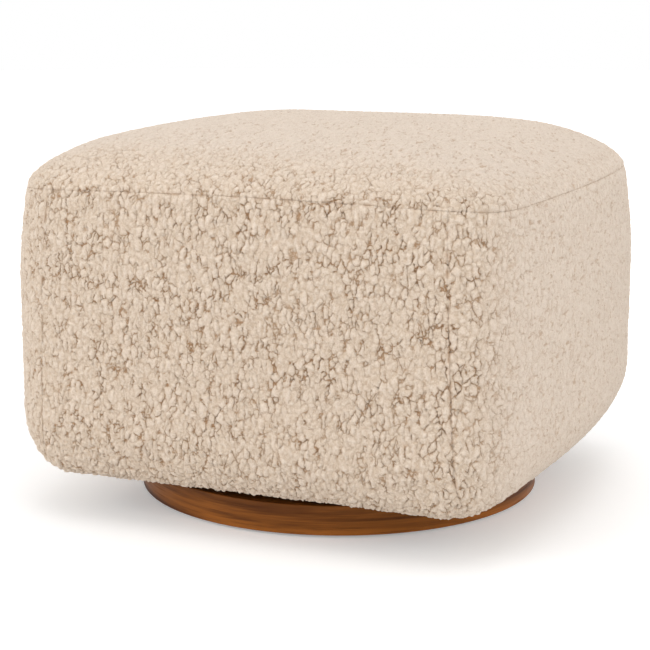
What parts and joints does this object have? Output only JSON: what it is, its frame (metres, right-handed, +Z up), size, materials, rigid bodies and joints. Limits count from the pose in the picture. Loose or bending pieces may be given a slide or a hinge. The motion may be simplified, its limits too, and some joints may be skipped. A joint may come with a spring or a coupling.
{
  "type": "glider ottoman",
  "caption": "Upholstered glider ottoman: a crowned shearling box on a round walnut plinth, gliding front to back on four swing links.",
  "frame": {"origin": "centre of the round plinth, on the floor", "axes": "+Z up, +X along the wide side to the sitter's right, -Y towards the front"},
  "size_m": [0.6268, 0.5724, 0.43],
  "materials": {
    "shearling": "cream curly shearling",
    "walnut": "satin walnut stain",
    "plinth_underside": "stained plywood",
    "plywood": "raw birch plywood",
    "softwood": "planed pine",
    "foam": "open-cell foam",
    "black_cloth": "spunbond cloth",
    "black_steel": "satin powder coat",
    "zinc_steel": "zinc plated",
    "bearing_steel": "polished",
    "rubber": "matte",
    "glide_pad": "matte"
  },
  "bodies": {
    "base": {"floor_glides": "glide_pad", "plinth_lower_disc": "plinth_underside", "plinth_upper_disc": "walnut", "plinth_edge_band": "walnut", "mechanism_plate": "black_steel", "plate_bolts": "zinc_steel", "tee_nuts": "zinc_steel", "left_tower": "black_steel", "right_tower": "black_steel", "tower_ties": "black_steel", "upper_pivot_bolts": "zinc_steel", "upper_pivot_nuts": "zinc_steel", "upper_spacers": "zinc_steel", "upper_inner_races": "bearing_steel", "bumpers": "rubber", "bumper_screws": "zinc_steel"},
    "front_left_link": {"front_left_link": "black_steel", "front_left_link_outer_races": "bearing_steel", "front_left_link_balls": "bearing_steel"},
    "front_right_link": {"front_right_link": "black_steel", "front_right_link_outer_races": "bearing_steel", "front_right_link_balls": "bearing_steel"},
    "back_left_link": {"back_left_link": "black_steel", "back_left_link_outer_races": "bearing_steel", "back_left_link_balls": "bearing_steel"},
    "back_right_link": {"back_right_link": "black_steel", "back_right_link_outer_races": "bearing_steel", "back_right_link_balls": "bearing_steel"},
    "carriage": {"left_seat_rail": "black_steel", "right_seat_rail": "black_steel", "rail_screws": "zinc_steel", "lower_pivot_bolts": "zinc_steel", "lower_pivot_nuts": "zinc_steel", "lower_spacers": "zinc_steel", "lower_inner_races": "bearing_steel", "front_cross_rail": "softwood", "back_cross_rail": "softwood", "front_board": "plywood", "back_board": "plywood", "left_board": "plywood", "right_board": "plywood", "corner_posts": "softwood", "front_bottom_board": "plywood", "back_bottom_board": "plywood", "left_bottom_board": "plywood", "right_bottom_board": "plywood", "top_deck": "plywood", "dust_cover": "black_cloth", "front_foam": "foam", "back_foam": "foam", "left_foam": "foam", "right_foam": "foam", "top_foam": "foam", "front_cover": "shearling", "back_cover": "shearling", "left_cover": "shearling", "right_cover": "shearling", "top_cover": "shearling"}
  },
  "joints": [
    {"name": "glide", "type": "hinge", "parent": "base", "child": "front_left_link", "pos_m": [-0.1135, -0.06, 0.207], "axis": [1, 0, 0], "range_deg": [-24, 24]},
    {"name": "carriage_level", "type": "hinge", "parent": "front_left_link", "child": "carriage", "pos_m": [-0.1135, -0.06, 0.097], "axis": [1, 0, 0], "range_deg": [-25, 25]},
    {"name": "front_right_swing", "type": "hinge", "parent": "base", "child": "front_right_link", "pos_m": [0.1135, -0.06, 0.207], "axis": [1, 0, 0], "range_deg": [-25, 25]},
    {"name": "back_left_swing", "type": "hinge", "parent": "base", "child": "back_left_link", "pos_m": [-0.1135, 0.06, 0.207], "axis": [1, 0, 0], "range_deg": [-25, 25]},
    {"name": "back_right_swing", "type": "hinge", "parent": "base", "child": "back_right_link", "pos_m": [0.1135, 0.06, 0.207], "axis": [1, 0, 0], "range_deg": [-25, 25]}
  ],
  "couplings": [
    {"joint": "carriage_level", "follows": "glide", "ratio": -1},
    {"joint": "front_right_swing", "follows": "glide", "ratio": 1},
    {"joint": "back_left_swing", "follows": "glide", "ratio": 1},
    {"joint": "back_right_swing", "follows": "glide", "ratio": 1}
  ]
}
